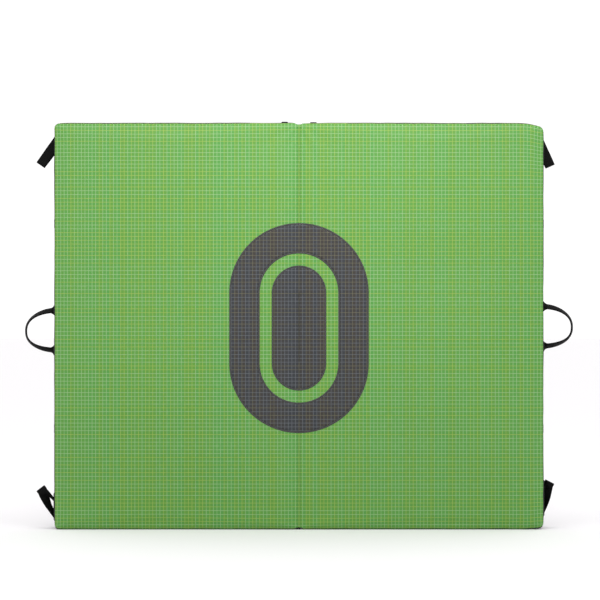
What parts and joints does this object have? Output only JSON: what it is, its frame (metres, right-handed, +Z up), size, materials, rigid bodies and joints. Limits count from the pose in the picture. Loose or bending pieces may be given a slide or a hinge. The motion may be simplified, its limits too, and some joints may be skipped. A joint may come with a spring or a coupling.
{
  "type": "bouldering crash pad",
  "caption": "Two-panel folding landing mat with a fabric hinge, carry handles, lashing loops, closure straps and a backpack harness.",
  "frame": {"origin": "on the ground, under the middle of the open mat standing on its long edge", "axes": "+X along the open mat's width, to the right as the landing face is seen; the landing face looks towards -Y and the harness side towards +Y; +Z up"},
  "size_m": [1.376, 0.11, 1.0155],
  "materials": {
    "face_fabric": "green ripstop with pale grid threads",
    "shell_fabric": "black coated plain weave",
    "emblem_fabric": "dark grey ripstop, satin-stitched edge",
    "padding_fabric": "black fabric over soft foam, bound edge",
    "webbing": "black polyester webbing",
    "landing_foam": null,
    "core_foam": null,
    "metal": "satin anodised",
    "zip_metal": "black enamelled zinc",
    "plastic": "black acetal, fine spark texture"
  },
  "bodies": {
    "left_panel": {"left_face_cover": "face_fabric", "left_gusset": "shell_fabric", "left_back_cover": "shell_fabric", "left_landing_foam": "landing_foam", "left_core_foam": "core_foam", "left_emblem": "emblem_fabric", "left_handle_tabs": "webbing", "left_loop_tabs": "webbing", "left_closure_tabs": "webbing", "left_hinge_tab": "webbing", "left_zip": "webbing", "hinge_web": "face_fabric", "harness_yoke": "shell_fabric", "lumbar_patch": "shell_fabric", "harness_anchors": "webbing"},
    "right_panel": {"right_face_cover": "face_fabric", "right_gusset": "shell_fabric", "right_back_cover": "shell_fabric", "right_landing_foam": "landing_foam", "right_core_foam": "core_foam", "right_emblem": "emblem_fabric", "right_handle_tabs": "webbing", "right_loop_tabs": "webbing", "right_closure_tabs": "webbing", "right_hinge_tab": "webbing", "right_zip": "webbing"},
    "left_handle": {"left_handle": "webbing"},
    "right_handle": {"right_handle": "webbing"},
    "left_top_loop": {"left_top_loop": "webbing"},
    "left_bottom_loop": {"left_bottom_loop": "webbing"},
    "right_top_loop": {"right_top_loop": "webbing"},
    "right_bottom_loop": {"right_bottom_loop": "webbing"},
    "closure_strap_upper": {"closure_strap_upper": "webbing", "strap_slider_upper": "plastic"},
    "closure_hook_upper": {"closure_hook_upper": "metal"},
    "ring_loop_upper": {"ring_loop_upper": "webbing"},
    "closure_ring_upper": {"closure_ring_upper": "metal"},
    "closure_strap_lower": {"closure_strap_lower": "webbing", "strap_slider_lower": "plastic"},
    "closure_hook_lower": {"closure_hook_lower": "metal"},
    "ring_loop_lower": {"ring_loop_lower": "webbing"},
    "closure_ring_lower": {"closure_ring_lower": "metal"},
    "shoulder_strap_left": {"shoulder_pad_left": "padding_fabric", "ladder_lock_left": "plastic", "harness_webbing_left": "webbing"},
    "harness_hook_left": {"harness_hook_left": "metal"},
    "shoulder_strap_right": {"shoulder_pad_right": "padding_fabric", "ladder_lock_right": "plastic", "harness_webbing_right": "webbing"},
    "harness_hook_right": {"harness_hook_right": "metal"},
    "belt_left": {"belt_wing_left": "padding_fabric", "belt_webbing_left": "webbing", "buckle_socket": "plastic"},
    "belt_right": {"belt_wing_right": "padding_fabric", "belt_webbing_right": "webbing", "buckle_plug": "plastic"},
    "left_zip_slider": {"left_zip_slider": "zip_metal"},
    "left_zip_pull": {"left_zip_pull": "zip_metal"},
    "right_zip_slider": {"right_zip_slider": "zip_metal"},
    "right_zip_pull": {"right_zip_pull": "zip_metal"}
  },
  "joints": [
    {"name": "fold", "type": "hinge", "parent": "left_panel", "child": "right_panel", "pos_m": [0, -0.059, 0.5], "axis": [0, 0, -1], "range_deg": [0, 179], "deforming": ["hinge_web"]},
    {"name": "left_handle_swing", "type": "hinge", "parent": "left_panel", "child": "left_handle", "pos_m": [-0.615, -0.009, 0.497], "axis": [0, 0, -1], "range_deg": [-75, 75]},
    {"name": "right_handle_swing", "type": "hinge", "parent": "right_panel", "child": "right_handle", "pos_m": [0.615, -0.009, 0.507], "axis": [0, 0, 1], "range_deg": [-75, 75]},
    {"name": "left_top_loop_swing", "type": "hinge", "parent": "left_panel", "child": "left_top_loop", "pos_m": [-0.615, -0.009, 0.958], "axis": [0, 0, -1], "range_deg": [-75, 75]},
    {"name": "left_bottom_loop_swing", "type": "hinge", "parent": "left_panel", "child": "left_bottom_loop", "pos_m": [-0.615, -0.009, 0.055], "axis": [0, 0, -1], "range_deg": [-75, 75]},
    {"name": "right_top_loop_swing", "type": "hinge", "parent": "right_panel", "child": "right_top_loop", "pos_m": [0.615, -0.009, 0.938], "axis": [0, 0, 1], "range_deg": [-75, 75]},
    {"name": "right_bottom_loop_swing", "type": "hinge", "parent": "right_panel", "child": "right_bottom_loop", "pos_m": [0.615, -0.009, 0.086], "axis": [0, 0, 1], "range_deg": [-75, 75]},
    {"name": "closure_strap_upper_swing", "type": "hinge", "parent": "right_panel", "child": "closure_strap_upper", "pos_m": [0.615, 0.02, 0.765], "axis": [0, 0, -1], "range_deg": [0, 180]},
    {"name": "closure_hook_upper_swing", "type": "hinge", "parent": "closure_strap_upper", "child": "closure_hook_upper", "pos_m": [0.385, 0.0412, 0.765], "axis": [0, 0, -1], "range_deg": [0, 160]},
    {"name": "ring_loop_upper_swing", "type": "hinge", "parent": "left_panel", "child": "ring_loop_upper", "pos_m": [-0.615, 0.02, 0.765], "axis": [0, 0, 1], "range_deg": [0, 180]},
    {"name": "closure_ring_upper_swing", "type": "hinge", "parent": "ring_loop_upper", "child": "closure_ring_upper", "pos_m": [-0.553, 0.0412, 0.765], "axis": [0, 0, 1], "range_deg": [0, 160]},
    {"name": "closure_strap_lower_swing", "type": "hinge", "parent": "right_panel", "child": "closure_strap_lower", "pos_m": [0.615, 0.02, 0.249], "axis": [0, 0, -1], "range_deg": [0, 180]},
    {"name": "closure_hook_lower_swing", "type": "hinge", "parent": "closure_strap_lower", "child": "closure_hook_lower", "pos_m": [0.385, 0.0412, 0.249], "axis": [0, 0, -1], "range_deg": [0, 160]},
    {"name": "ring_loop_lower_swing", "type": "hinge", "parent": "left_panel", "child": "ring_loop_lower", "pos_m": [-0.615, 0.02, 0.249], "axis": [0, 0, 1], "range_deg": [0, 180]},
    {"name": "closure_ring_lower_swing", "type": "hinge", "parent": "ring_loop_lower", "child": "closure_ring_lower", "pos_m": [-0.553, 0.0412, 0.249], "axis": [0, 0, 1], "range_deg": [0, 160]},
    {"name": "shoulder_strap_left_swing", "type": "hinge", "parent": "left_panel", "child": "shoulder_strap_left", "pos_m": [-0.3865, 0.042, 0.85], "axis": [1, 0, 0], "range_deg": [0, 80]},
    {"name": "harness_hook_left_swing", "type": "hinge", "parent": "shoulder_strap_left", "child": "harness_hook_left", "pos_m": [-0.3865, 0.0405, 0.442], "axis": [1, 0, 0], "range_deg": [0, 70]},
    {"name": "shoulder_strap_right_swing", "type": "hinge", "parent": "left_panel", "child": "shoulder_strap_right", "pos_m": [-0.2265, 0.042, 0.85], "axis": [1, 0, 0], "range_deg": [0, 80]},
    {"name": "harness_hook_right_swing", "type": "hinge", "parent": "shoulder_strap_right", "child": "harness_hook_right", "pos_m": [-0.2265, 0.0405, 0.442], "axis": [1, 0, 0], "range_deg": [0, 70]},
    {"name": "belt_left_swing", "type": "hinge", "parent": "left_panel", "child": "belt_left", "pos_m": [-0.3765, 0.042, 0.312], "axis": [0, 0, -1], "range_deg": [0, 100]},
    {"name": "belt_right_swing", "type": "hinge", "parent": "left_panel", "child": "belt_right", "pos_m": [-0.2365, 0.042, 0.312], "axis": [0, 0, 1], "range_deg": [0, 100]},
    {"name": "left_zip_slide", "type": "slide", "parent": "left_panel", "child": "left_zip_slider", "axis": [-1, 0, 0], "range_m": [0, 0.38]},
    {"name": "left_zip_pull_swing", "type": "hinge", "parent": "left_zip_slider", "child": "left_zip_pull", "pos_m": [-0.1165, 0.0442, 0.963], "axis": [1, 0, 0], "range_deg": [0, 85]},
    {"name": "right_zip_slide", "type": "slide", "parent": "right_panel", "child": "right_zip_slider", "axis": [1, 0, 0], "range_m": [0, 0.38]},
    {"name": "right_zip_pull_swing", "type": "hinge", "parent": "right_zip_slider", "child": "right_zip_pull", "pos_m": [0.1165, 0.0442, 0.963], "axis": [1, 0, 0], "range_deg": [0, 85]}
  ]
}
